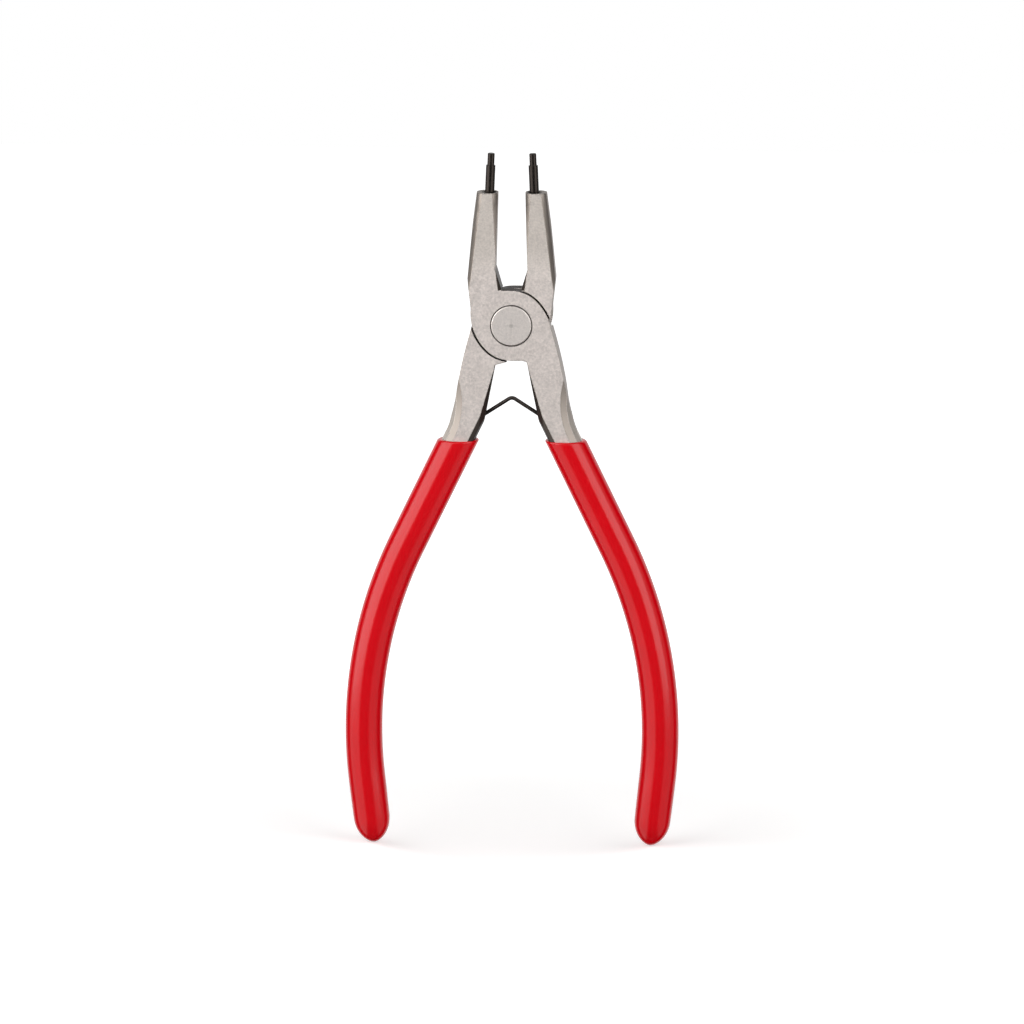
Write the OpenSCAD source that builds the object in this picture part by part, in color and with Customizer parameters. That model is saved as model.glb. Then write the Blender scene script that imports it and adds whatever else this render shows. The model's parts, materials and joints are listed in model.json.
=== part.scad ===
// Circlip pliers for internal rings: two identical levers lapped on one rivet,
// black pressed-in tip pins, a bent wire opening spring and dipped grips.
// Upright: tips along +Z, front face towards -Y, floor under the grip ends. Sizes in mm.

/* [Head and joint] */
// Thickness of the levers across the head
head_thickness = 7.5; // [6.5:0.1:9]
// Radius of the round lap boss on each lever
boss_radius = 9.05; // [8.5:0.05:10]
// Radius of the flatter arc that carries each seam out to the lever's edge
ear_radius = 13.6; // [12.5:0.1:15]
// Open width of the seam round the boss
seam_gap = 0.4; // [0.3:0.05:0.5]
// Running gap between the two lapped faces
lap_gap = 0.08; // [0.04:0.01:0.12]
// Radius of the rivet's shank
rivet_radius = 3.5; // [3:0.1:4]
// Radius of the rivet's heads
rivet_head_radius = 5.2; // [4.8:0.1:5.8]
// Depth of each rivet head in its counterbore
rivet_head_depth = 1.3; // [1:0.1:1.8]
// Height of each rivet head above the lever's face
rivet_proud = 0.2; // [0.1:0.05:0.4]
// Chamfer on the rivet heads
rivet_chamfer = 0.25; // [0.1:0.05:0.4]
// Radial running fit of the rivet in the levers
rivet_fit = 0.03; // [0.02:0.01:0.06]

/* [Jaws] */
// Pivot to the end of the jaws
jaw_reach = 33.9; // [30:0.1:38]
// Half the gap between the jaws at their ends
jaw_end_inner = 3.45; // [3:0.05:3.7]
// Half the gap between the jaws at the knee
jaw_knee_inner = 4.1; // [3.6:0.05:4.6]
// Height of the knee over the pivot
jaw_knee_height = 14.4; // [13:0.1:16]
// Half width of the crotch floor
crotch_half = 2.45; // [2.2:0.05:2.8]
// Slope of the chamfers from the knee down into the crotch, degrees
knee_chamfer_slope = 6.5; // [5:0.5:8]
// Half width of the head at its top corners
corner_half = 11.2; // [10.6:0.1:11.8]
// Height of those corners over the pivot
corner_height = 11.9; // [11:0.1:13]
// Half width of the jaw side where it reaches the waist
waist_half = 9.8; // [9.6:0.05:10.2]
// Centre of the jaw's round end, from the middle
jaw_end_centre = 6.17; // [5.8:0.05:6.5]
// Radius of the jaw's round end
jaw_end_radius = 2.76; // [2.5:0.02:3]
// Growth of that radius for each mm down the jaw
jaw_round_growth = 0.09; // [0.08:0.005:0.11]
// Sideways lean of the jaw's rounding, degrees
jaw_round_lean = 2.2; // [1.8:0.1:2.6]
// Half the straight part of the jaw's round end, front to back
jaw_end_spread = 0.35; // [0.2:0.05:0.5]
// Thickness of the jaws at their ends
jaw_end_thickness = 5.6; // [5:0.1:6]
// Height over the pivot where the jaws begin to thin
jaw_thin_start = 12; // [10:0.5:16]

/* [Tip pins] */
// Tip centre at the jaw's end, from the middle
tip_centre = 5.67; // [5.5:0.02:5.9]
// Inward lean of the tips, degrees
tip_lean = 2.35; // [2:0.05:2.7]
// Radius of the tip's body
tip_body_radius = 1.2; // [1.1:0.05:1.35]
// Length of the tip's body above the jaw
tip_body_length = 6.9; // [6:0.1:8]
// Radius of the working nose that enters a ring's hole
tip_nose_radius = 0.9; // [0.8:0.02:1]
// Length of the working nose
tip_nose_length = 3.1; // [2.6:0.1:3.6]
// Chamfer on the working nose
tip_chamfer = 0.15; // [0.05:0.05:0.3]
// Depth of the pressed-in part
tip_seat = 8; // [6:0.5:10]
// Radial room left round the pressed-in part
tip_fit = 0.02; // [0.01:0.01:0.04]
// Width of the countersink round each tip
tip_countersink = 0.6; // [0.4:0.05:0.7]

/* [Handles] */
// Half width of the handle's outer edge at the pivot's height
neck_half = 10; // [9.9:0.05:10.3]
// Radius of the neck's outer edge
neck_radius = 142; // [130:1:160]
// Slope of that edge at the pivot's height, degrees
neck_angle = 16.7; // [16:0.1:17.4]
// Half gap between the necks at the boss's underside
neck_inner = 3.9; // [3.5:0.05:4.3]
// Slope of the neck's inner edge, degrees
neck_inner_angle = 10.9; // [10:0.1:12]
// Drop of the shoulder beside the seam on the lapped side
shoulder_drop = 1.1; // [0.8:0.05:1.4]
// Fillet between boss and neck
crotch_fillet = 0.8; // [0.5:0.05:1.2]
// Radius of the flare from the neck to the tang
flare_radius = 41; // [36:0.5:46]
// Middle of the tang from the middle of the pliers, where the straight tang begins
root_half = 13.6; // [13.2:0.1:14]
// Pivot down to where the straight tang begins
root_drop = 30.1; // [29:0.1:31.5]
// Slope of the straight tang, degrees
handle_tilt = 25.8; // [24.5:0.1:27]
// Half the width of the tang
tang_half = 3.8; // [3.5:0.05:4]
// Width of the bevels on the tang's outer side
outer_bevel = 2.5; // [2:0.05:2.7]
// Width of the bevels on the tang's inner side
inner_bevel = 1.6; // [1.2:0.05:1.8]
// Half the flat part of the tang's outer side, front to back
side_flat = 1.1; // [0.8:0.05:1.4]
// Radius of the run-out where the tang's rounding leaves the neck
runout_radius = 23.3; // [22:0.1:25]
// Length of the straight tang down to the bow
tang_length = 30.4; // [26:0.1:35]
// Radius of the bowed part of the handle
bow_radius = 112; // [105:1:120]
// Inward slope at the lower end, degrees
tail_angle = 6.5; // [5:0.1:8]
// Straight length from the bow to the handle's end
tail_length = 18.2; // [16:0.1:20]
// Straight length of the tang under the bow, hidden in the grip
tang_tail = 9; // [7:0.1:10]
// Crotch down to where the chamfers on the neck's inner edges begin
chamfer_start = 1.6; // [1.2:0.1:3]
// Slope at which those chamfers grow, degrees
chamfer_slope = 3.7; // [2.5:0.1:4]

/* [Opening spring] */
// Radius of the spring wire
wire_radius = 0.5; // [0.4:0.02:0.6]
// Pivot down to the top of the spring's bend
spring_drop = 19.4; // [18.5:0.1:20.5]
// Radius of the bend at the wire's centre
spring_bend = 1.5; // [1.2:0.1:2]
// Slope of the spring's legs, degrees
spring_slope = 33; // [31:0.5:35]
// Length of each leg inside its handle
spring_bite = 2.4; // [2:0.1:2.8]
// Radial room round the wire in its hole
spring_room = 0.15; // [0.1:0.01:0.25]

/* [Grips] */
// Coating on the sides of the tang
grip_wall = 1; // [0.9:0.05:1.3]
// Pivot down to the grip's upper rim
rim_drop = 30.1; // [29.5:0.1:33]
// Length of the grip's rounded point
grip_point = 6; // [5:0.1:8]
// Depth cut off each grip end for the small flat it stands on
end_flat = 0.9; // [0.8:0.05:1.1]
// How much the grip's tail narrows towards the point
grip_taper = 0.4; // [0.2:0.05:0.6]
// Room between the coating and the tang
grip_fit = 0.03; // [0.01:0.01:0.06]

/* [Hidden] */
$fn = 96;
// Pieces of one swept body overlap by the lap and differ in size by the step
joint_lap = 0.5;
joint_step = 0.02;
half = head_thickness / 2;
// Reaches past every edge of the part
beyond = 6 * jaw_reach;
// Jaw and neck run past the pivot's height, inside the boss
waist_lap = 3;
flare_bite = 0.04;
ear_centre = -(ear_radius - boss_radius) * [cos(45), sin(45)];
tilt_out = [cos(handle_tilt), sin(handle_tilt)];
tilt_up = [-sin(handle_tilt), cos(handle_tilt)];
tang_root = [root_half, -root_drop];
bow_start = tang_root - tang_length * tilt_up;
bow_centre = bow_start - bow_radius * tilt_out;
rim_run = (-rim_drop - bow_start[1]) / tilt_up[1];
tail_top = bow_centre + bow_radius * [cos(tail_angle), -sin(tail_angle)];
pivot_height = tail_length * cos(tail_angle) - tail_top[1] - end_flat;
neck_centre = [neck_half - neck_radius * cos(neck_angle), -neck_radius * sin(neck_angle)];
runout_centre = tang_root + (runout_radius - flare_bite) * tilt_out;
// The flare touches the tang's outer line and, all but a hair, the neck's arc
flare_ease = 0.15;
flare_span = neck_radius + flare_radius - flare_bite;
flare_level = (tang_root - neck_centre) * tilt_out + tang_half + flare_ease + flare_radius;
flare_side = sqrt(flare_span * flare_span - flare_level * flare_level);
flare_centre = neck_centre + flare_level * tilt_out - flare_side * tilt_up;
flare_touch = neck_centre + neck_radius / flare_span * (flare_centre - neck_centre);
grip_half = tang_half + grip_wall;
point_half = grip_half - grip_taper;
leg_way = [cos(spring_slope), -sin(spring_slope)];
leg_start = [spring_bend * sin(spring_slope), -spring_drop - spring_bend * (1 - cos(spring_slope))];
// From there to the neck's inner line, and on into the neck
leg_reach = (neck_inner - leg_start[0] - (boss_radius + leg_start[1]) * tan(neck_inner_angle))
    / (leg_way[0] + leg_way[1] * tan(neck_inner_angle));
leg_length = leg_reach + spring_bite;

// A plan drawn in X and Z, given thickness from y0 to y1
module plate(y0, y1) {
    translate([0, y1, 0]) rotate([90, 0, 0]) linear_extrude(height = y1 - y0) children();
}

// Turns a module that stands on its own Z axis into the straight tang's direction
module on_tang() {
    translate([bow_start[0], 0, bow_start[1]]) rotate([0, -handle_tilt, 0]) children();
}

// A pie slice between two directions
module slice(from, to) {
    middle = (from + to) / 2;
    polygon(beyond * [[0, 0], [cos(from), sin(from)], 2 * [cos(middle), sin(middle)], [cos(to), sin(to)]]);
}

// The lap boss with its two ears, grown by a gap
module ear(grow) {
    intersection() {
        translate(ear_centre) circle(r = ear_radius + grow);
        slice(-25, 45);
    }
}

module lap_plan(grow) {
    circle(r = boss_radius + grow);
    ear(grow);
    rotate(180) ear(grow);
}

// Left jaw, from the waist to its end
module jaw_plan() {
    slope = (corner_half - waist_half) / corner_height;
    intersection() {
        polygon([[0, -waist_lap], [0, boss_radius], [-crotch_half, boss_radius],
                 [-jaw_knee_inner, jaw_knee_height], [-jaw_end_inner, jaw_reach],
                 [-jaw_end_centre - 1.1 * jaw_end_radius, jaw_reach], [-corner_half, corner_height],
                 [waist_lap * slope - waist_half, -waist_lap]]);
        union() {
            translate([-beyond, 0]) square(2 * beyond);
            rotate(180) translate(ear_centre) circle(r = ear_radius);
        }
    }
}

// Right neck, from the waist to the straight tang, with a fillet under the boss
module neck_plan() {
    lean = [sin(neck_inner_angle), -cos(neck_inner_angle)];
    corner = [neck_inner, -boss_radius];
    bite = 0.3;
    fillet_run = crotch_fillet / tan(45 + neck_inner_angle / 2);
    fillet_end = corner + fillet_run * lean;
    // Along the neck's inner line to a line just inside the tang's inner side
    inner_run = ((tang_root - corner) * tilt_out - tang_half - bite) / (lean * tilt_out);
    knee = corner + inner_run * lean;
    difference() {
        intersection() {
            polygon([[0, waist_lap], [0, -boss_radius], corner, knee,
                     tang_root - (tang_half + bite) * tilt_out, tang_root + tang_half * tilt_out,
                     tang_root + 2 * grip_half * tilt_out, [2 * root_half, -root_drop / 2],
                     [2 * root_half, waist_lap]]);
            union() {
                translate(neck_centre) circle(r = neck_radius);
                translate([-beyond, flare_touch[1] - 2 * beyond]) square(2 * beyond);
            }
            union() {
                translate([-beyond, -2 * beyond]) square(2 * beyond);
                translate(ear_centre) circle(r = ear_radius);
            }
        }
        translate(flare_centre) circle(r = flare_radius);
    }
    difference() {
        polygon([corner + [bite, bite], corner - [fillet_run, -bite], corner - [fillet_run, 0],
                 fillet_end, fillet_end + [bite, 0]]);
        translate(corner - [fillet_run, crotch_fillet]) circle(r = crotch_fillet);
    }
}

// Sloping shoulder under the other lever's boss, on the lapped side only
module shoulder_plan() {
    side = 1.4 * neck_inner;
    top = 1 - boss_radius;
    polygon([[0, top], [0, -boss_radius], [side, -boss_radius - 1.4 * shoulder_drop], [side, top]]);
}

// Section of the tang: two flats between sides rounded in facets, outer side towards +X
tang_points = [[tang_half, side_flat],
               [tang_half - 0.38 * outer_bevel, half - 0.38 * (half - side_flat)],
               [tang_half - outer_bevel, half], [inner_bevel - tang_half, half],
               [0.3 * inner_bevel - tang_half, half - 0.38 * inner_bevel],
               [-tang_half, half - 1.3 * inner_bevel]];

module tang_section(grow) {
    size = 1 + grow / tang_half;
    lower = [for (i = [5:-1:0]) [tang_points[i][0], -tang_points[i][1]]];
    polygon(size * concat(tang_points, lower));
}

// Straight run and bow of a handle. The bow takes the second child, a hair thinner,
// and the straight run reaches a little way over its end
module handle_sweep(top_run) {
    on_tang() translate([0, 0, -joint_lap]) linear_extrude(height = top_run + joint_lap) children(0);
    translate([bow_centre[0], 0, bow_centre[1]]) rotate([90, 0, 0]) rotate([0, 0, -tail_angle])
        rotate_extrude(angle = handle_tilt + tail_angle) translate([bow_radius, 0]) children(1);
}

// Stands a child on the straight tail, z = 0 where the bow ends
module on_tail() {
    translate([tail_top[0], 0, tail_top[1]]) rotate([0, tail_angle, 0]) children();
}

module tang(grow, top_run) {
    handle_sweep(top_run) {
        tang_section(grow);
        tang_section(grow - joint_step);
    }
    on_tail() translate([0, 0, -tang_tail - grow]) linear_extrude(height = tang_tail + grow + joint_lap)
        tang_section(grow);
}

// A form wheel with a hollow rim: it leaves the tang's bevelled outer side
module outer_rounding() {
    rim = [for (i = [0:2]) [runout_radius - tang_points[i][0], tang_points[i][1]]];
    edge = rim[2] + 0.4 * (rim[2] - rim[1]);
    upper = [rim[0], rim[1], edge, [edge[0], half + 2], [runout_radius - 9, half + 2]];
    lower = [for (i = [4:-1:0]) [upper[i][0], -upper[i][1]]];
    translate([runout_centre[0], 0, runout_centre[1]]) rotate([90, 0, 0]) rotate_extrude()
        polygon(concat(upper, lower));
}

// Carries the tang's inner bevels up the neck until they run out
module inner_rounding() {
    edge = tang_points[3] + 0.8 * (tang_points[3] - tang_points[4]);
    upper = [tang_points[5], tang_points[4], edge, [edge[0], half + 2], [-12, half + 2]];
    lower = [for (i = [4:-1:0]) [upper[i][0], -upper[i][1]]];
    reach = 0.8 * root_drop;
    on_tang() translate([0, 0, tang_length - 2]) linear_extrude(height = reach)
        polygon(concat(upper, lower));
}

// Chamfers on the front and back of an edge of the right side: they begin at a place on the
// edge and grow as they run down it
module edge_chamfers(top, lean, slope, run) {
    wide = 2 * head_thickness;
    for (side = [0, 1]) mirror([0, side, 0]) translate([top[0], -half, top[1]]) rotate([0, -lean, 0])
        rotate([0, 0, 45]) rotate([0, -slope, 0]) translate([-wide, -wide, -run])
            cube([wide, 2 * wide, run]);
}

module neck_chamfers() {
    lean = [sin(neck_inner_angle), -cos(neck_inner_angle)];
    top = [neck_inner, -boss_radius] + chamfer_start * lean;
    edge_chamfers(top, neck_inner_angle, chamfer_slope, root_drop);
}

module knee_chamfers() {
    fall = [jaw_knee_inner - crotch_half, jaw_knee_height - boss_radius];
    mirror([1, 0, 0]) edge_chamfers([jaw_knee_inner, jaw_knee_height], -atan(fall[0] / fall[1]),
        knee_chamfer_slope, 0.96 * norm(fall));
}

// The jaw's round end grows into a wide cone further down
module jaw_cone() {
    length = 32;
    above = 1;
    low = jaw_end_radius + jaw_round_growth * (length - above);
    high = jaw_end_radius - jaw_round_growth * above;
    translate([-jaw_end_centre, 0, jaw_reach]) rotate([0, jaw_round_lean, 0])
        translate([0, 0, above - length]) {
            for (side = [-1, 1]) translate([0, side * jaw_end_spread, 0])
                cylinder(h = length, r1 = low, r2 = high);
            plate(-jaw_end_spread, jaw_end_spread)
                polygon([[-low, 0], [low, 0], [high, length], [-high, length]]);
        }
}

module jaw_rounding() {
    corner_run = 7;
    difference() {
        union() {
            translate([-beyond - jaw_end_centre, -beyond / 2, corner_height - corner_run]) cube(beyond);
            translate([-jaw_end_centre - 1, -beyond / 2, jaw_knee_height])
                cube([jaw_end_centre + 1, beyond, beyond]);
        }
        jaw_cone();
    }
}

// Thins the jaw towards its end, front and back
module jaw_thinning() {
    end_half = jaw_end_thickness / 2;
    rate = (half - end_half) / (jaw_reach - jaw_thin_start);
    for (side = [0, 1]) mirror([0, side, 0]) translate([-jaw_reach, 0, 0]) rotate([90, 0, 90])
        linear_extrude(height = jaw_reach)
            polygon([[half, jaw_thin_start], [end_half - rate, jaw_reach + 1], [half + 2, jaw_reach + 1],
                     [half + 2, jaw_thin_start]]);
}

// Places a child upright on the axis of the left tip, z = 0 at the jaw's end
module on_tip() {
    translate([-tip_centre, 0, jaw_reach]) rotate([0, tip_lean, 0]) children();
}

// One lever: left jaw, lap boss on the front half, right handle
module lever() {
    difference() {
        union() {
            difference() {
                union() {
                    plate(-half, -lap_gap / 2) lap_plan(0);
                    difference() {
                        union() {
                            plate(-half, half) {
                                jaw_plan();
                                neck_plan();
                            }
                            plate(-lap_gap / 2, half) shoulder_plan();
                        }
                        plate(-lap_gap / 2, half + 1) mirror([1, 0]) lap_plan(seam_gap);
                    }
                }
                jaw_rounding();
                jaw_thinning();
                outer_rounding();
                inner_rounding();
                neck_chamfers();
                knee_chamfers();
            }
            tang(0, tang_length + 1);
        }
        rotate([90, 0, 0]) {
            cylinder(h = 2 * head_thickness, r = rivet_radius + rivet_fit, center = true);
            translate([0, 0, half - rivet_head_depth - rivet_fit])
                cylinder(h = head_thickness, r = rivet_head_radius + rivet_fit);
        }
        on_tip() {
            translate([0, 0, -tip_seat - tip_fit]) cylinder(h = tip_seat + 2, r = tip_body_radius + tip_fit);
            translate([0, 0, -tip_countersink]) cylinder(h = 2 * tip_countersink,
                r1 = tip_body_radius, r2 = tip_body_radius + 2 * tip_countersink);
        }
        spring_leg(spring_room, 0.3);
    }
}

// One straight leg of the spring, on the right
module spring_leg(grow, extra) {
    translate([leg_start[0], 0, leg_start[1]]) rotate([0, 90 + spring_slope, 0])
        translate([0, 0, -joint_lap / 4])
            cylinder(h = leg_length + joint_lap / 4 + extra, r = wire_radius + grow);
}

module tip() {
    on_tip() {
        translate([0, 0, -tip_seat]) cylinder(h = tip_seat + tip_body_length, r = tip_body_radius);
        translate([0, 0, tip_body_length]) cylinder(h = tip_nose_length - tip_chamfer, r = tip_nose_radius);
        translate([0, 0, tip_body_length + tip_nose_length - tip_chamfer])
            cylinder(h = tip_chamfer, r1 = tip_nose_radius, r2 = tip_nose_radius - tip_chamfer);
    }
}

// Lower end of a grip, z = 0 at its point: a narrowing tail and the point where the dip ran off
module grip_tail() {
    steps = 9;
    fullness = 2.2;
    sharpness = 1.6;
    rotate_extrude() polygon(concat([[0, tail_length + joint_lap], [grip_half, tail_length + joint_lap],
                                     [grip_half, tail_length - tang_tail]],
        [for (i = [0:steps]) let (fall = pow(sin(90 * i / steps), 1.2))
            [point_half * pow(max(0, 1 - pow(fall, fullness)), 1 / sharpness), grip_point * (1 - fall)]]));
}

module grip() {
    difference() {
        union() {
            handle_sweep(rim_run + 5) {
                circle(r = grip_half);
                circle(r = grip_half - joint_step);
            }
            on_tail() translate([0, 0, -tail_length]) grip_tail();
        }
        translate([-beyond, -beyond, -rim_drop]) cube(2 * beyond);
        translate([-beyond, -beyond, -pivot_height - 2 * beyond]) cube(2 * beyond);
        tang(grip_fit, rim_run + 8);
    }
}

module at_pivot() {
    translate([0, 0, pivot_height]) children();
}

module front_lever() {
    color("silver") at_pivot() lever();
}

module rear_lever() {
    color("silver") at_pivot() rotate([0, 0, 180]) lever();
}

module pivot_rivet() {
    color("gainsboro") at_pivot() rotate([90, 0, 0]) {
        cylinder(h = head_thickness, r = rivet_radius, center = true);
        for (side = [0, 1]) mirror([0, 0, side]) {
            translate([0, 0, half - rivet_head_depth])
                cylinder(h = rivet_head_depth + rivet_proud - rivet_chamfer, r = rivet_head_radius);
            translate([0, 0, half + rivet_proud - rivet_chamfer])
                cylinder(h = rivet_chamfer, r1 = rivet_head_radius, r2 = rivet_head_radius - rivet_chamfer);
        }
    }
}

module left_tip() {
    color("dimgray") at_pivot() tip();
}

module right_tip() {
    color("dimgray") at_pivot() rotate([0, 0, 180]) tip();
}

module opening_spring() {
    color("black") at_pivot() {
        for (side = [0, 1]) mirror([side, 0, 0]) spring_leg(0, 0);
        translate([0, 0, -spring_drop - spring_bend]) rotate([90, 0, 0])
            rotate([0, 0, 90 - spring_slope]) rotate_extrude(angle = 2 * spring_slope)
                translate([spring_bend, 0]) circle(r = wire_radius - joint_step);
    }
}

module left_grip() {
    color("crimson") at_pivot() rotate([0, 0, 180]) grip();
}

module right_grip() {
    color("crimson") at_pivot() grip();
}

front_lever();
rear_lever();
pivot_rivet();
left_tip();
right_tip();
opening_spring();
left_grip();
right_grip();
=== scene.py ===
# %% [markdown]
# Circlip pliers, dressed for a studio picture.
#
# The pliers stand upright on the ends of their grips. Two satin steel levers cross on one
# rivet, black pins sit in the jaw ends, a bent wire pushes the handles apart, and each
# handle is dipped in red vinyl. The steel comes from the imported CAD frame, so this lesson
# only softens its edges and gives it a finish. The grips and the spring are made anew,
# because a dipped skin and a drawn wire are smoother than the plain solids under them.

import json
import math

import bpy
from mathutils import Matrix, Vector

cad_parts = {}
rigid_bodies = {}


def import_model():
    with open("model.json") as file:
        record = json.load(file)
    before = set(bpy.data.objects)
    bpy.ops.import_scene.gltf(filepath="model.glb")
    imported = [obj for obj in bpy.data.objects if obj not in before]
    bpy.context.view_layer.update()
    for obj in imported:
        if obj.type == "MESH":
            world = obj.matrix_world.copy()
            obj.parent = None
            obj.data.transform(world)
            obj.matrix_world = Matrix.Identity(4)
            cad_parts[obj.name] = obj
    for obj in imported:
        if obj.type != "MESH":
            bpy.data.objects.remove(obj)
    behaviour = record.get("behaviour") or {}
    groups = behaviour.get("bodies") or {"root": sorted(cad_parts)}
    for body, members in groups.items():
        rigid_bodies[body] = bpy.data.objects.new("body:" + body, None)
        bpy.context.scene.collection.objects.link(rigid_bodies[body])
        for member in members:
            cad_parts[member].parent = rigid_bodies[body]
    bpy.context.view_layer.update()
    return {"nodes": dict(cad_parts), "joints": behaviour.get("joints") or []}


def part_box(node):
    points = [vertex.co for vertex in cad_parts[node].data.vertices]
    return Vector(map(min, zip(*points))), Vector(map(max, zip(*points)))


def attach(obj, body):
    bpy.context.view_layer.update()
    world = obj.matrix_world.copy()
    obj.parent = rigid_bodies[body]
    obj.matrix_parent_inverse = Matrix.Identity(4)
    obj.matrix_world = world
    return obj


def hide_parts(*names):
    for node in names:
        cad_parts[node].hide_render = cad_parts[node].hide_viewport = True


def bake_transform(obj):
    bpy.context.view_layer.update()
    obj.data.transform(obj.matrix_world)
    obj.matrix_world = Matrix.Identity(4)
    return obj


for leftover in list(bpy.data.objects):
    bpy.data.objects.remove(leftover)

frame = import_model()
scene = bpy.context.scene
nodes = frame["nodes"]
pivot = Vector(frame["joints"][0]["pos_m"])
MM = 0.001
print("nodes", sorted(nodes), "pivot height", round(pivot.z / MM, 2), "mm")

# %% [markdown]
# A product shot of a small tool is taken from far away with a long lens, so that the two
# handles look the same size. The camera stands a little to the right and a little above.
# Azimuth, elevation and the width of the view are the three numbers that place it, and the
# lens follows from the distance.

# %% Camera
CAMERA_AZIMUTH = math.radians(3.2)
CAMERA_ELEVATION = math.radians(12.0)
CAMERA_DISTANCE = 3.0
VIEW_WIDTH = 0.2613
SENSOR_WIDTH = 36.0
AIM_HEIGHT = 0.08697
aim = Vector((0.0, 0.0, AIM_HEIGHT))


def direction(azimuth, elevation):
    """A unit vector from the object: azimuth 0 is the front, positive to the right."""
    flat = math.cos(elevation)
    return Vector((math.sin(azimuth) * flat, -math.cos(azimuth) * flat, math.sin(elevation)))


def look_at(thing, target):
    """Turns a camera or a lamp so that its own -Z points at the target."""
    thing.rotation_euler = (target - thing.location).to_track_quat("-Z", "Y").to_euler()


camera = bpy.data.objects.new("camera", bpy.data.cameras.new("camera"))
scene.collection.objects.link(camera)
camera.data.sensor_width = SENSOR_WIDTH
camera.data.lens = SENSOR_WIDTH * CAMERA_DISTANCE / VIEW_WIDTH
camera.location = aim + CAMERA_DISTANCE * direction(CAMERA_AZIMUTH, CAMERA_ELEVATION)
look_at(camera, aim)
scene.camera = camera
print("lens", round(camera.data.lens, 1), "mm")

# %% [markdown]
# Helpers for materials. A colour is written as the eye reads it, in 0 to 255 steps, and
# turned into the linear numbers that shaders work with. A tree helper makes a node, sets
# its sockets and links it in one line, which keeps the recipes below short.

# %% Material helpers


def linear(red, green, blue):
    """Turns an 8 bit screen colour into a linear RGBA colour."""
    def channel(value):
        value /= 255
        return value / 12.92 if value <= 0.04045 else ((value + 0.055) / 1.055) ** 2.4
    return (channel(red), channel(green), channel(blue), 1.0)


def add_node(tree, kind, inputs=None, **settings):
    """Adds a node. An input given as a socket is linked, anything else is its value."""
    node = tree.nodes.new(kind)
    for name, value in settings.items():
        setattr(node, name, value)
    for key, value in (inputs or {}).items():
        if isinstance(value, bpy.types.NodeSocket):
            tree.links.new(value, node.inputs[key])
        else:
            node.inputs[key].default_value = value
    return node


def new_material(name):
    """An empty material with its output and a Principled shader."""
    material = bpy.data.materials.new(name)
    material.use_nodes = True
    tree = material.node_tree
    tree.nodes.clear()
    shader = add_node(tree, "ShaderNodeBsdfPrincipled")
    add_node(tree, "ShaderNodeOutputMaterial", {"Surface": shader.outputs["BSDF"]})
    return material, tree, shader


def new_group(name, inputs, outputs):
    """An empty shader node group with named sockets: (name, type, default)."""
    group = bpy.data.node_groups.new(name, "ShaderNodeTree")
    for label, kind, default in inputs:
        socket = group.interface.new_socket(label, in_out="INPUT", socket_type=kind)
        socket.default_value = default
    for label, kind in outputs:
        group.interface.new_socket(label, in_out="OUTPUT", socket_type=kind)
    return group, group.nodes.new("NodeGroupInput"), group.nodes.new("NodeGroupOutput")


# %% [markdown]
# Fine grain is shared by every metal piece. Ground or tumbled steel is covered in tiny pits
# that make its colour and gloss waver. Two noises do that: a fine one for the pits, a coarse
# one for faint clouds. The group hands out a tinted colour, a roughness and a height for a
# bump, and each finish chooses its own strength.

# %% Fine grain group
NUMBER = "NodeSocketFloat"
COLOUR = "NodeSocketColor"
CLOUD_SHARE = 0.18
NOISE_MIDDLE = 0.5


def make_fine_grain():
    group, source, sink = new_group(
        "fine_grain",
        [("Tone", COLOUR, (0.5, 0.5, 0.5, 1.0)), ("Pit Scale", NUMBER, 2000.0),
         ("Cloud Scale", NUMBER, 420.0), ("Contrast", NUMBER, 0.2),
         ("Roughness", NUMBER, 0.4), ("Roughness Swing", NUMBER, 0.1)],
        [("Tint", COLOUR), ("Gloss", NUMBER), ("Height", NUMBER)])
    place = add_node(group, "ShaderNodeTexCoord")
    pits = add_node(group, "ShaderNodeTexNoise",
                    {"Vector": place.outputs["Object"], "Scale": source.outputs["Pit Scale"],
                     "Detail": 3.0, "Roughness": 0.6})
    clouds = add_node(group, "ShaderNodeTexNoise",
                      {"Vector": place.outputs["Object"], "Scale": source.outputs["Cloud Scale"],
                       "Detail": 2.0, "Roughness": 0.5})
    both = add_node(group, "ShaderNodeMix",
                    {"Factor": CLOUD_SHARE, "A": pits.outputs["Fac"], "B": clouds.outputs["Fac"]})
    swing = add_node(group, "ShaderNodeMath",
                     {0: both.outputs["Result"], 1: NOISE_MIDDLE}, operation="SUBTRACT")
    shade = add_node(group, "ShaderNodeMath",
                     {0: swing.outputs[0], 1: source.outputs["Contrast"], 2: 1.0},
                     operation="MULTIPLY_ADD")
    tint = add_node(group, "ShaderNodeVectorMath",
                    {0: source.outputs["Tone"], "Scale": shade.outputs[0]}, operation="SCALE")
    gloss = add_node(group, "ShaderNodeMath",
                     {0: swing.outputs[0], 1: source.outputs["Roughness Swing"],
                      2: source.outputs["Roughness"]}, operation="MULTIPLY_ADD")
    group.links.new(tint.outputs["Vector"], sink.inputs["Tint"])
    group.links.new(gloss.outputs[0], sink.inputs["Gloss"])
    group.links.new(pits.outputs["Fac"], sink.inputs["Height"])
    return group


fine_grain = make_fine_grain()
print("group", fine_grain.name, [item.name for item in fine_grain.interface.items_tree])

# %% [markdown]
# One recipe makes all the metals: grain into colour, roughness and bump, and a Principled
# shader with full metallic. No real edge is a knife, so a Bevel node bends the normal over
# the last fraction of a millimetre of each edge, which draws the thin bright and dark lines
# along the outlines. Satin lever steel is warm and dull, the rivet's head is a little
# brighter because it was turned, the pins are blackened, and the spring wire is dark.

# %% Metal finishes
PIT_DEPTH = 0.05 * MM
EDGE_SAMPLES = 6


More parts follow.
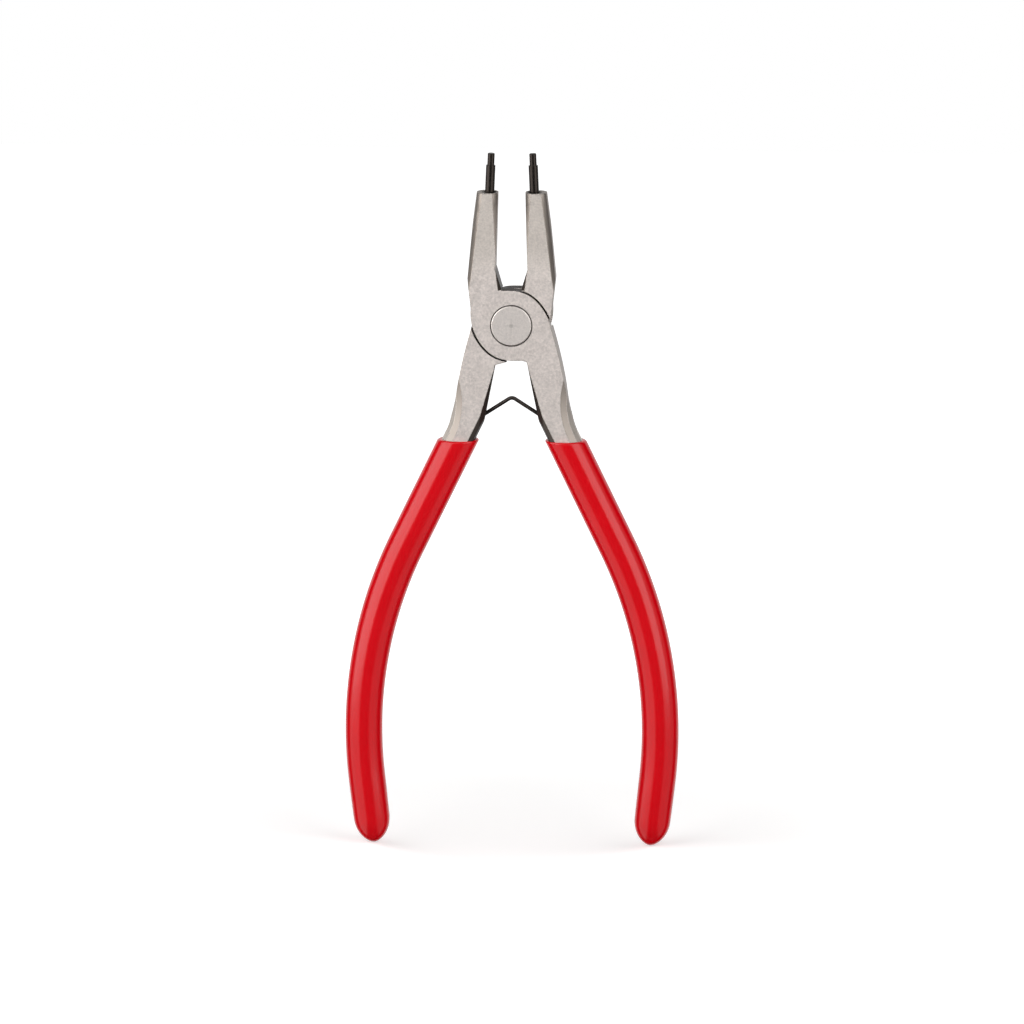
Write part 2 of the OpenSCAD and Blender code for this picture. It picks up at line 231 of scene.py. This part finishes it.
def metal(name, tone, roughness, swing, contrast, bump, edge):
    material, tree, shader = new_material(name)
    grain = add_node(tree, "ShaderNodeGroup", node_tree=fine_grain)
    for label, value in (("Tone", tone), ("Roughness", roughness), ("Roughness Swing", swing),
                         ("Contrast", contrast)):
        grain.inputs[label].default_value = value
    soft_edge = add_node(tree, "ShaderNodeBevel", {"Radius": edge}, samples=EDGE_SAMPLES)
    raised = add_node(tree, "ShaderNodeBump",
                      {"Strength": bump, "Distance": PIT_DEPTH, "Height": grain.outputs["Height"],
                       "Normal": soft_edge.outputs["Normal"]})
    shader.inputs["Metallic"].default_value = 1.0
    tree.links.new(grain.outputs["Tint"], shader.inputs["Base Color"])
    tree.links.new(grain.outputs["Gloss"], shader.inputs["Roughness"])
    tree.links.new(raised.outputs["Normal"], shader.inputs["Normal"])
    print("finish", name)
    return material


satin_steel = metal("satin_steel", linear(219, 211, 206), roughness=0.60, swing=0.30,
                    contrast=0.85, bump=0.40, edge=0.3 * MM)
rivet_steel = metal("rivet_steel", linear(224, 217, 212), roughness=0.55, swing=0.20,
                    contrast=0.50, bump=0.20, edge=0.15 * MM)
black_oxide = metal("black_oxide_steel", linear(52, 47, 44), roughness=0.36, swing=0.20,
                    contrast=0.60, bump=0.2, edge=0.1 * MM)
dark_wire = metal("spring_wire", linear(72, 66, 63), roughness=0.42, swing=0.15,
                  contrast=0.50, bump=0.2, edge=0.1 * MM)

# %% [markdown]
# Only the faces of the levers are ground bright, and a painted shade darkens the jaws. The sides
# are smoother, and a painted shade makes them a duller grey, with a painted highlight on the
# bevels of the necks. The jaw ends take a grey painted shade too. On the inner sides, in the
# crotch of the jaws and round the pins a dark painted shade is laid. Masks find those places
# from the surface's own direction and from its place on the lever, so nothing has to be painted
# by hand. A dark ring is also drawn in the thin gap round the rivet, and the rivet itself keeps
# the small dimple and the faint cross of the punch that set it.

# %% Masks


class Masks:
    """Small sums on sockets of one material, each giving a new socket."""

    def __init__(self, material):
        self.tree = material.node_tree
        self.shader = next(n for n in self.tree.nodes if n.type == "BSDF_PRINCIPLED")
        soft_edge = next(n for n in self.tree.nodes if n.type == "BEVEL")
        turned = add_node(self.tree, "ShaderNodeVectorTransform", {0: soft_edge.outputs["Normal"]},
                          vector_type="NORMAL", convert_from="WORLD", convert_to="OBJECT")
        place = add_node(self.tree, "ShaderNodeTexCoord")
        self.where = add_node(self.tree, "ShaderNodeSeparateXYZ",
                              {0: place.outputs["Object"]}).outputs
        self.facing = add_node(self.tree, "ShaderNodeSeparateXYZ", {0: turned.outputs[0]}).outputs
        from_pivot = add_node(self.tree, "ShaderNodeVectorMath",
                              {0: place.outputs["Object"], 1: pivot}, operation="SUBTRACT")
        in_face = add_node(self.tree, "ShaderNodeVectorMath",
                           {0: from_pivot.outputs[0], 1: (1.0, 0.0, 1.0)}, operation="MULTIPLY")
        self.radius = add_node(self.tree, "ShaderNodeVectorMath", {0: in_face.outputs[0]},
                               operation="LENGTH").outputs["Value"]

    def sum(self, operation, *values):
        return add_node(self.tree, "ShaderNodeMath", dict(enumerate(values)),
                        operation=operation).outputs[0]

    def ramp(self, value, zero, one, top=1.0):
        """Runs smoothly from 0 where the value is zero to the top where it is one."""
        return add_node(self.tree, "ShaderNodeMapRange",
                        {"Value": value, "From Min": zero, "From Max": one, "To Max": top},
                        interpolation_type="SMOOTHSTEP").outputs["Result"]

    def height(self, zero, one):
        """A ramp over the height above the rivet."""
        return self.ramp(self.where["Z"], pivot.z + zero, pivot.z + one)

    def stain_or_painted_light(self, mask, tone, blend="MIX"):
        """Mixes a tone into the base colour where the mask is 1."""
        base = self.shader.inputs["Base Color"]
        mixed = add_node(self.tree, "ShaderNodeMix",
                         {"Factor": mask, "A": base.links[0].from_socket, "B": tone},
                         data_type="RGBA", blend_type=blend)
        self.tree.links.new(mixed.outputs["Result"], base)

    def polish(self, mask, roughness):
        """Mixes a roughness in where the mask is 1."""
        gloss = self.shader.inputs["Roughness"]
        mixed = add_node(self.tree, "ShaderNodeMix",
                         {"Factor": mask, "A": gloss.links[0].from_socket, "B": roughness})
        self.tree.links.new(mixed.outputs["Result"], gloss)


# %% Painted light and shade on the steel
# Heights above the rivet, each from no mask to a full one
JAW_SHADE_HEIGHTS = (9.0 * MM, 22.0 * MM)
NECK = (-4.0 * MM, -20.0 * MM)
JAW_TOP = (33.0 * MM, 33.5 * MM)
BELOW_JAWS = (15.5 * MM, 13.5 * MM)
# Distances from the middle, from a pin and from the rivet's axis
PIN_OFFSET = 5.67 * MM
CROTCH = (3.6 * MM, 2.6 * MM)
PIN_SOCKET = (2.2 * MM, 1.8 * MM)
RIVET_GAP = (5.5 * MM, 5.3 * MM)
# How far a surface turns to the side, inwards or upwards
UNGROUND_AND_SHADE = (0.06, 0.28)
NECK_BEVEL = (0.58, 0.72)
FULL_SIDE = (0.86, 0.96)
INWARDS = (-0.2, -0.5)
UPWARDS = (0.5, 0.8)
# Tones, most of them painted shade and one a painted highlight
# painted shade over the jaws
JAW_PAINTED_SHADE = (0.84, 0.84, 0.82, 1.0)
SIDE_SHADE_TONE = linear(140, 132, 125)
UNGROUND_ROUGHNESS = 0.45
BEVEL_HIGHLIGHT_TONE = linear(226, 217, 208)
FULL_SIDE_SHADE_TONE = linear(150, 142, 136)
JAW_END_SHADE_TONE = linear(150, 143, 137)
# painted shade, and the dark ring of the rivet's gap
SHADE_AND_GAP_TONE = linear(62, 56, 52)


def add_painted_light_and_side_finish(material):
    m = Masks(material)
    x = m.where["X"]
    from_middle = m.sum("ABSOLUTE", x)
    sideways = m.sum("ABSOLUTE", m.facing["X"])
    # painted shade: the jaws grow darker from 9 mm above the rivet, fully so from 22 mm
    m.stain_or_painted_light(m.height(*JAW_SHADE_HEIGHTS), JAW_PAINTED_SHADE, "MULTIPLY")
    # the sides are smoother; their darker grey, chosen by how far they turn sideways, is painted
    # shade
    unground_and_shade = m.ramp(sideways, *UNGROUND_AND_SHADE)
    m.polish(unground_and_shade, UNGROUND_ROUGHNESS)
    m.stain_or_painted_light(unground_and_shade, SIDE_SHADE_TONE)
    # painted highlight: the bevels of the necks are painted bright
    bevel_highlight = m.sum("MULTIPLY", m.ramp(sideways, *NECK_BEVEL), m.height(*NECK))
    m.stain_or_painted_light(bevel_highlight, BEVEL_HIGHLIGHT_TONE)
    # painted shade: faces turned fully sideways take a grey of their own, a little lighter
    m.stain_or_painted_light(m.ramp(sideways, *FULL_SIDE), FULL_SIDE_SHADE_TONE)
    upwards = m.ramp(m.facing["Z"], *UPWARDS)
    # painted shade: the upward faces of the jaw ends are painted grey
    jaw_end = m.sum("MULTIPLY", upwards, m.height(*JAW_TOP))
    m.stain_or_painted_light(jaw_end, JAW_END_SHADE_TONE)
    # painted shade: dark round the pins in the jaw ends, on the inward sides below the jaws and in
    # the crotch of the jaws
    off_pin = m.sum("SUBTRACT", from_middle, PIN_OFFSET)
    pin_radius = m.sum("SQRT", m.sum("ADD", m.sum("MULTIPLY", off_pin, off_pin),
                                     m.sum("MULTIPLY", m.where["Y"], m.where["Y"])))
    socket = m.sum("MULTIPLY", jaw_end, m.ramp(pin_radius, *PIN_SOCKET))
    outward = m.sum("MULTIPLY", m.facing["X"], m.sum("SIGN", x))
    flank = m.sum("MULTIPLY", m.ramp(outward, *INWARDS), m.height(*BELOW_JAWS))
    crotch = m.sum("MULTIPLY", upwards, m.ramp(from_middle, *CROTCH))
    # a dark ring in the thin gap round the rivet
    gap = m.ramp(m.radius, *RIVET_GAP)
    dark = m.sum("MAXIMUM", m.sum("MAXIMUM", flank, crotch), m.sum("MAXIMUM", socket, gap))
    m.stain_or_painted_light(dark, SHADE_AND_GAP_TONE)
    print("forge skin on", material.name)


add_painted_light_and_side_finish(satin_steel)

# %% Rivet marks
DIMPLE = (0.8 * MM, 0.2 * MM)
CROSS_LINE = (0.4 * MM, 0.05 * MM)
CROSS_REACH = (2.8 * MM, 1.2 * MM)
HEAD_RIM = (5.02 * MM, 5.14 * MM)
DIMPLE_SHADE = 0.28
CROSS_SHADE = 0.09
RIM_SHADE = 0.9
MARK_TONE = linear(92, 86, 82)


def add_rivet_marks(material):
    m = Masks(material)
    dimple = m.ramp(m.radius, *DIMPLE, DIMPLE_SHADE)
    near_line = m.sum("MINIMUM", m.sum("ABSOLUTE", m.where["X"]),
                      m.sum("ABSOLUTE", m.sum("SUBTRACT", m.where["Z"], pivot.z)))
    cross = m.sum("MULTIPLY", m.ramp(near_line, *CROSS_LINE, CROSS_SHADE),
                  m.ramp(m.radius, *CROSS_REACH))
    rim = m.ramp(m.radius, *HEAD_RIM, RIM_SHADE)
    m.stain_or_painted_light(m.sum("MAXIMUM", m.sum("MAXIMUM", dimple, cross), rim), MARK_TONE)
    print("punch mark on", material.name)


add_rivet_marks(rivet_steel)

# %% [markdown]
# Dipped vinyl is a clear, deep red with a soft shine. The dip leaves slow waves that bend
# the long highlights, and a faint orange peel. The shine is the Principled shader's own
# reflection, turned down a little because soft vinyl shines less than hard plastic.

# %% Red vinyl
WAVE_SCALE = 160.0
PEEL_SCALE = 1500.0
PEEL_SHARE = 0.2
DEEP_RED = linear(197, 0, 13)
LIGHT_RED = linear(206, 1, 17)
SHINIEST, DULLEST = 0.17, 0.23
VINYL_REFLECTION = 0.38
WAVE_STRENGTH = 0.25
WAVE_DEPTH = 0.06 * MM


def make_red_vinyl():
    material, tree, shader = new_material("red_vinyl")
    place = add_node(tree, "ShaderNodeTexCoord")
    waves = add_node(tree, "ShaderNodeTexNoise",
                     {"Vector": place.outputs["Object"], "Scale": WAVE_SCALE, "Detail": 1.0})
    peel = add_node(tree, "ShaderNodeTexNoise",
                    {"Vector": place.outputs["Object"], "Scale": PEEL_SCALE, "Detail": 2.0})
    tone = add_node(tree, "ShaderNodeMix",
                    {"Factor": waves.outputs["Fac"], "A": DEEP_RED, "B": LIGHT_RED},
                    data_type="RGBA")
    gloss = add_node(tree, "ShaderNodeMapRange",
                     {"Value": peel.outputs["Fac"], "To Min": SHINIEST, "To Max": DULLEST})
    relief = add_node(tree, "ShaderNodeMix",
                      {"Factor": PEEL_SHARE, "A": waves.outputs["Fac"], "B": peel.outputs["Fac"]})
    raised = add_node(tree, "ShaderNodeBump",
                      {"Strength": WAVE_STRENGTH, "Distance": WAVE_DEPTH,
                       "Height": relief.outputs["Result"]})
    tree.links.new(tone.outputs["Result"], shader.inputs["Base Color"])
    shader.inputs["Specular IOR Level"].default_value = VINYL_REFLECTION
    tree.links.new(gloss.outputs["Result"], shader.inputs["Roughness"])
    tree.links.new(raised.outputs["Normal"], shader.inputs["Normal"])
    return material


red_vinyl = make_red_vinyl()
print("finish", red_vinyl.name)

# %% [markdown]
# The steel pieces of the frame have the right shape already, so they only take their
# finishes. A material is put into the piece's first slot, and the mesh stays as it is.

# %% Paint the steel


def paint(piece, material):
    piece.data.materials.clear()
    piece.data.materials.append(material)


for node, material in (("front_lever", satin_steel), ("rear_lever", satin_steel),
                       ("pivot_rivet", rivet_steel), ("left_tip", black_oxide),
                       ("right_tip", black_oxide)):
    paint(nodes[node], material)
    print(node, "takes", material.name)

# %% [markdown]
# Each grip is a skin of vinyl drawn along the handle: straight under the rim, then a long
# bow, then a short straight tail that ends in the point where the dip ran off. Rings of
# points follow that line and are joined by quads. The rim is cut level, so its rings slide
# along the handle until they reach the level plane, and its edge is rolled over. The solid
# in the frame is cut off flat at the very end, so that it can stand, and the skin is round there.

# %% Handle line
TANG_ROOT = pivot + Vector((13.6 * MM, 0.0, -30.1 * MM))
TANG_LENGTH = 30.4 * MM
HANDLE_TILT = math.radians(25.8)
BOW_RADIUS = 112 * MM
TAIL_ANGLE = math.radians(6.5)
low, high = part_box("right_grip")
SKIN_INSET = 0.02 * MM
GRIP_RADIUS = (high.y - low.y) / 2 - SKIN_INSET
RIM_HEIGHT = high.z


def out_and_up(angle):
    """Outward and upward unit vectors of the handle where its slope is the angle."""
    return (Vector((math.cos(angle), 0.0, math.sin(angle))),
            Vector((-math.sin(angle), 0.0, math.cos(angle))))


bow_out, bow_up = out_and_up(HANDLE_TILT)
tail_out, tail_up = out_and_up(-TAIL_ANGLE)
bow_start = TANG_ROOT - TANG_LENGTH * bow_up
bow_centre = bow_start - BOW_RADIUS * bow_out
tail_top = bow_centre + BOW_RADIUS * tail_out
TAIL_LENGTH = tail_top.z / tail_up.z
tail_end = tail_top - TAIL_LENGTH * tail_up
print("tail", round(TAIL_LENGTH / MM, 2), "mm long")

# %% Grip skins
AROUND = 64
RIM_ROLL = 0.5 * MM
NOSE_LENGTH = 7.2 * MM
BOW_TAPER = 0.05 * MM
TAIL_TAPER = 0.1 * MM
RIM_SINK = 0.15 * MM
FLOOR_CLEARANCE = 0.001 * MM
ROLL_STEPS = 6
STRAIGHT_STEPS = 24
BOW_STEPS = 48
TAIL_STEPS = 8
NOSE_STEPS = 20
NOSE_POWERS = (2.2, 1.6)


def ring(centre, out, radius):
    """Points round the handle, starting on its outer side."""
    turns = [2 * math.pi * i / AROUND for i in range(AROUND)]
    return [centre + radius * (math.cos(t) * out + math.sin(t) * Vector((0, 1, 0))) for t in turns]


def level_ring(radius, drop):
    """A ring on the straight part, slid along the handle to a level plane below the rim."""
    points = ring(bow_start, bow_out, radius)
    return [p + (RIM_HEIGHT - drop - p.z) / bow_up.z * bow_up for p in points]


def on_floor(point):
    """Lifts a point that would lie a hair under the floor."""
    return Vector((point.x, point.y, max(point.z, FLOOR_CLEARANCE)))


def grip_rings():
    """Rings from the middle of the rim, over its roll, down the handle and round the nose."""
    rings = [level_ring(0.3 * GRIP_RADIUS, RIM_SINK), level_ring(0.6 * GRIP_RADIUS, 0.1 * MM),
             level_ring(GRIP_RADIUS - 1.6 * RIM_ROLL, 0.03 * MM)]
    for i in range(ROLL_STEPS + 1):
        turn = math.pi / 2 * (1 - i / ROLL_STEPS)
        rings.append(level_ring(GRIP_RADIUS - RIM_ROLL * (1 - math.cos(turn)),
                                RIM_ROLL * (1 - math.sin(turn))))
    top, foot = rings[-1], ring(bow_start, bow_out, GRIP_RADIUS)
    for i in range(1, STRAIGHT_STEPS + 1):
        rings.append([a.lerp(b, i / STRAIGHT_STEPS) for a, b in zip(top, foot)])
    for i in range(1, BOW_STEPS + 1):
        out = out_and_up(HANDLE_TILT + (-TAIL_ANGLE - HANDLE_TILT) * i / BOW_STEPS)[0]
        rings.append(ring(bow_centre + BOW_RADIUS * out, out,
                          GRIP_RADIUS - BOW_TAPER * i / BOW_STEPS))
    taper_run = TAIL_LENGTH - NOSE_LENGTH
    tail_radius = GRIP_RADIUS - BOW_TAPER
    for i in range(1, TAIL_STEPS + 1):
        rings.append(ring(tail_top - taper_run * i / TAIL_STEPS * tail_up, tail_out,
                          tail_radius - TAIL_TAPER * (1 - math.cos(math.pi / 2 * i / TAIL_STEPS))))
    along_power, round_power = NOSE_POWERS
    for i in range(1, NOSE_STEPS):
        reach = math.sin(math.pi / 2 * i / NOSE_STEPS)
        radius = (tail_radius - TAIL_TAPER) * (1 - reach ** along_power) ** (1 / round_power)
        rings.append(ring(tail_end + NOSE_LENGTH * (1 - reach) * tail_up, tail_out, radius))
    return [[on_floor(p) for p in r] for r in rings]


def skin(name, rings, start, end):
    """A closed smooth mesh through the rings, with one point at each end."""
    points = [p for r in rings for p in r] + [start, end]
    count = len(rings[0])
    faces = []
    for row in range(len(rings) - 1):
        for i in range(count):
            j = (i + 1) % count
            faces.append((row * count + i, row * count + j,
                          (row + 1) * count + j, (row + 1) * count + i))
    last = (len(rings) - 1) * count
    for i in range(count):
        j = (i + 1) % count
        faces.append((len(points) - 2, j, i))
        faces.append((len(points) - 1, last + i, last + j))
    mesh = bpy.data.meshes.new(name)
    mesh.from_pydata(points, [], faces)
    mesh.shade_smooth()
    piece = bpy.data.objects.new(name, mesh)
    scene.collection.objects.link(piece)
    return piece


def mirrored(points):
    """The same points on the left handle, turned half round the upright axis."""
    return [Vector((-p.x, -p.y, p.z)) for p in points]


right_rings = grip_rings()
rim_middle = level_ring(0.0, RIM_SINK)[0]
ends = [rim_middle, on_floor(tail_end)]
right_skin = skin("right_grip_skin", right_rings, *ends)
left_skin = skin("left_grip_skin", [mirrored(r) for r in right_rings], *mirrored(ends))
for piece, node, body in ((right_skin, "right_grip", "front"), (left_skin, "left_grip", "rear")):
    paint(piece, red_vinyl)
    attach(piece, body)
    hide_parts(node)
    print(piece.name, len(piece.data.vertices), "points")

# %% [markdown]
# The opening spring is one piece of drawn wire with a bend in the middle. Its legs slip
# into holes in the two handles, so it has to follow both levers. A tube is drawn along the
# wire's line.

# %% Opening spring
low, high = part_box("opening_spring")
WIRE_RADIUS = (high.y - low.y) / 2
SPRING_SLOPE = math.radians(33)
SPRING_BEND = 1.5 * MM
SPRING_DROP = 19.4 * MM
bend_side = (SPRING_BEND + WIRE_RADIUS) * math.sin(SPRING_SLOPE)
LEG_LENGTH = (high.x - bend_side) / math.cos(SPRING_SLOPE)
WIRE_SIDES = 20
BEND_STEPS = 16
LEG_STEPS = 12


def spring_line():
    """Points along the wire with their directions, from the left end to the right end."""
    bend_middle = Vector((0.0, 0.0, pivot.z - SPRING_DROP - SPRING_BEND))
    line = []
    for i in range(BEND_STEPS + 1):
        turn = SPRING_SLOPE * (2 * i / BEND_STEPS - 1)
        line.append((bend_middle + SPRING_BEND * Vector((math.sin(turn), 0, math.cos(turn))),
                     Vector((math.cos(turn), 0, -math.sin(turn)))))
    left, left_way = line[0]
    right, right_way = line[-1]
    steps = [LEG_LENGTH * i / LEG_STEPS for i in range(1, LEG_STEPS + 1)]
    return ([(left - s * left_way, left_way) for s in reversed(steps)] + line
            + [(right + s * right_way, right_way) for s in steps])


def wire_rings(line, radius):
    rings = []
    for centre, way in line:
        side = Vector((way.z, 0, -way.x))
        turns = [2 * math.pi * i / WIRE_SIDES for i in range(WIRE_SIDES)]
        rings.append([centre + radius * (math.cos(t) * side + math.sin(t) * Vector((0, 1, 0)))
                      for t in turns])
    return rings


wire_line = spring_line()
spring = skin("spring_wire", wire_rings(wire_line, WIRE_RADIUS), wire_line[0][0], wire_line[-1][0])
paint(spring, dark_wire)
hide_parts("opening_spring")
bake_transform(spring)
print(spring.name, len(spring.data.vertices), "points")

# %% [markdown]
# The tool stands on a pale floor in a white room. The floor is white to the camera and
# keeps a faint shadow: a matt part takes the shade, and a glow on top of it, which grows with
# the distance from the tool, lifts the rest to white. The floor is left out of reflections, so
# that the dark side of the studio shows in the gloss.
# When the pliers close, the end of the moving handle swings on an arc round the rivet and dips
# a few millimetres. Between the two feet the floor follows that arc, so that it never cuts the
# grip off. It is shaded as if it were flat, so the hollow hardly shows. From low in front its
# edge is a faint line between the feet.

# %% Floor
FLOOR_HALF = 1.0
SWING_ROOM = 0.1 * MM
SWING_RADIUS = (tail_end - pivot).length + SWING_ROOM
HOLLOW_HALF = 10 * MM
HOLLOW_FADE = 40 * MM
STEP_ACROSS, STEPS_ACROSS = 2 * MM, 22
STEP_ALONG, STEPS_ALONG = 5 * MM, 9
GLOW_NEAR, GLOW_FAR = 0.06, 0.2
GLOW_LOW, GLOW_FULL = 0.54, 1.0
MATT_TONE = (0.8, 0.8, 0.8, 1.0)
MATT_TONE_SEEN = (0.72, 0.715, 0.71, 1.0)
WHITE = (1.0, 1.0, 1.0, 1.0)


def floor_height(x, y):
    """The level floor, hollowed between the feet along the arc of the handle's end."""
    depth = math.sqrt(max(SWING_RADIUS ** 2 - x ** 2, pivot.z ** 2)) - pivot.z
    fade = min(max((HOLLOW_FADE - abs(y)) / (HOLLOW_FADE - HOLLOW_HALF), 0.0), 1.0)
    return -depth * fade


def grid_line(step, count):
    """Even steps to both sides of the middle, and the floor's own edges."""
    return [-FLOOR_HALF] + [step * i for i in range(-count, count + 1)] + [FLOOR_HALF]


across = grid_line(STEP_ACROSS, STEPS_ACROSS)
along = grid_line(STEP_ALONG, STEPS_ALONG)
rows = len(along)
floor_mesh = bpy.data.meshes.new("floor")
floor_mesh.from_pydata([(x, y, floor_height(x, y)) for x in across for y in along], [],
                       [(i * rows + j, (i + 1) * rows + j, (i + 1) * rows + j + 1, i * rows + j + 1)
                        for i in range(len(across) - 1) for j in range(rows - 1)])
floor = bpy.data.objects.new("floor", floor_mesh)
scene.collection.objects.link(floor)
floor.visible_glossy = False


def make_floor_finish():
    material = bpy.data.materials.new("pale_floor")
    material.use_nodes = True
    tree = material.node_tree
    tree.nodes.clear()
    path = add_node(tree, "ShaderNodeLightPath")
    place = add_node(tree, "ShaderNodeTexCoord")
    reach = add_node(tree, "ShaderNodeVectorMath", {0: place.outputs["Object"]}, operation="LENGTH")
    far = add_node(tree, "ShaderNodeMapRange",
                   {"Value": reach.outputs["Value"], "From Min": GLOW_NEAR, "From Max": GLOW_FAR},
                   interpolation_type="SMOOTHSTEP")
    matt_tone = add_node(tree, "ShaderNodeMix",
                         {"Factor": path.outputs["Is Camera Ray"], "A": MATT_TONE,
                          "B": MATT_TONE_SEEN}, data_type="RGBA")
    level_normal = add_node(tree, "ShaderNodeCombineXYZ", {"Z": 1.0})
    matt = add_node(tree, "ShaderNodeBsdfDiffuse",
                    {"Color": matt_tone.outputs["Result"], "Normal": level_normal.outputs[0]})
    level = add_node(tree, "ShaderNodeMapRange",
                     {"Value": far.outputs["Result"], "To Min": GLOW_LOW, "To Max": GLOW_FULL})
    seen = add_node(tree, "ShaderNodeMath",
                    {0: path.outputs["Is Camera Ray"], 1: level.outputs["Result"]},
                    operation="MULTIPLY")
    glow = add_node(tree, "ShaderNodeEmission",
                    {"Color": WHITE, "Strength": seen.outputs[0]})
    both = add_node(tree, "ShaderNodeAddShader", {0: matt.outputs[0], 1: glow.outputs[0]})
    add_node(tree, "ShaderNodeOutputMaterial", {"Surface": both.outputs[0]})
    return material


paint(floor, make_floor_finish())
print("floor", 2 * FLOOR_HALF, "m wide")

# %% [markdown]
# Two soft boxes light the tool from the left and the right, as in most product pictures.
# They give the long streaks on the grips, and a third one in front lifts the flat steel. The
# world is white to the camera. For anything glossy it is white behind the tool, pale on the
# left and the right like the walls of a tent, and almost black in front, where the
# photographer stands, so that the middle of each grip stays a deep red. Black flags beside
# the backdrop draw a dark line along each outline, which sets the steel off from the white.

# %% Room
# Each wall: where along its axis it starts and is full, then its level at both places
LEFT_WALL = (-0.36, -0.52, 0.03, 1.2)
RIGHT_WALL = (0.45, 0.62, 0.0, 0.6)
FLAGS = (0.0, 0.15, 1.0, 0.0)
BACKDROP = (0.5, 0.68, 0.0, 1.0)
ROOM_FILL = 0.12


def make_room():
    world = bpy.data.worlds.new("room")
    scene.world = world
    world.use_nodes = True
    tree = world.node_tree
    tree.nodes.clear()
    path = add_node(tree, "ShaderNodeLightPath")
    place = add_node(tree, "ShaderNodeTexCoord")
    way = add_node(tree, "ShaderNodeSeparateXYZ", {0: place.outputs["Generated"]}).outputs

    def wall(value, start, full, dim, bright):
        return add_node(tree, "ShaderNodeMapRange",
                        {"Value": value, "From Min": start, "From Max": full, "To Min": dim,
                         "To Max": bright}, interpolation_type="SMOOTHSTEP").outputs["Result"]

    left_wall = wall(way["X"], *LEFT_WALL)
    right_wall = wall(way["X"], *RIGHT_WALL)
    both_walls = add_node(tree, "ShaderNodeMath", {0: left_wall, 1: right_wall}, operation="ADD")
    flags = wall(way["Y"], *FLAGS)
    sides = add_node(tree, "ShaderNodeMath", {0: both_walls.outputs[0], 1: flags},
                     operation="MULTIPLY")
    behind = add_node(tree, "ShaderNodeMix",
                      {"Factor": wall(way["Y"], *BACKDROP), "A": sides.outputs[0], "B": 1.0})
    shiny = add_node(tree, "ShaderNodeMath",
                     {0: path.outputs["Is Glossy Ray"], 1: path.outputs["Is Transmission Ray"]},
                     operation="MAXIMUM")
    fill = add_node(tree, "ShaderNodeMix",
                    {"Factor": shiny.outputs[0], "A": ROOM_FILL, "B": behind.outputs["Result"]})
    level = add_node(tree, "ShaderNodeMix",
                     {"Factor": path.outputs["Is Camera Ray"], "A": fill.outputs["Result"],
                      "B": 1.0})
    light = add_node(tree, "ShaderNodeBackground",
                     {"Color": WHITE, "Strength": level.outputs["Result"]})
    add_node(tree, "ShaderNodeOutputWorld", {"Surface": light.outputs[0]})
    print("world", world.name)


make_room()

# %% Soft boxes


def soft_box(name, azimuth, elevation, distance, width, height, glow):
    """A soft box aimed at the tool. Its power follows from how bright its face is."""
    lamp = bpy.data.lights.new(name, "AREA")
    lamp.shape = "RECTANGLE"
    lamp.size = width
    lamp.size_y = height
    lamp.energy = glow * math.pi * width * height
    box = bpy.data.objects.new(name, lamp)
    scene.collection.objects.link(box)
    box.visible_camera = False
    box.location = aim + distance * direction(math.radians(azimuth), math.radians(elevation))
    look_at(box, aim)
    print(name, round(lamp.energy, 2), "W")


soft_box("left_box", azimuth=-58, elevation=22, distance=0.75, width=0.9, height=1.0, glow=2.25)
soft_box("right_box", azimuth=52, elevation=22, distance=0.75, width=0.6, height=1.0, glow=2.3)
soft_box("front_box", azimuth=0, elevation=24, distance=0.9, width=0.7, height=0.36, glow=1.5)

# %% [markdown]
# The last cell sets the Standard view transform.

# %% View transform
scene.view_settings.view_transform = "Standard"
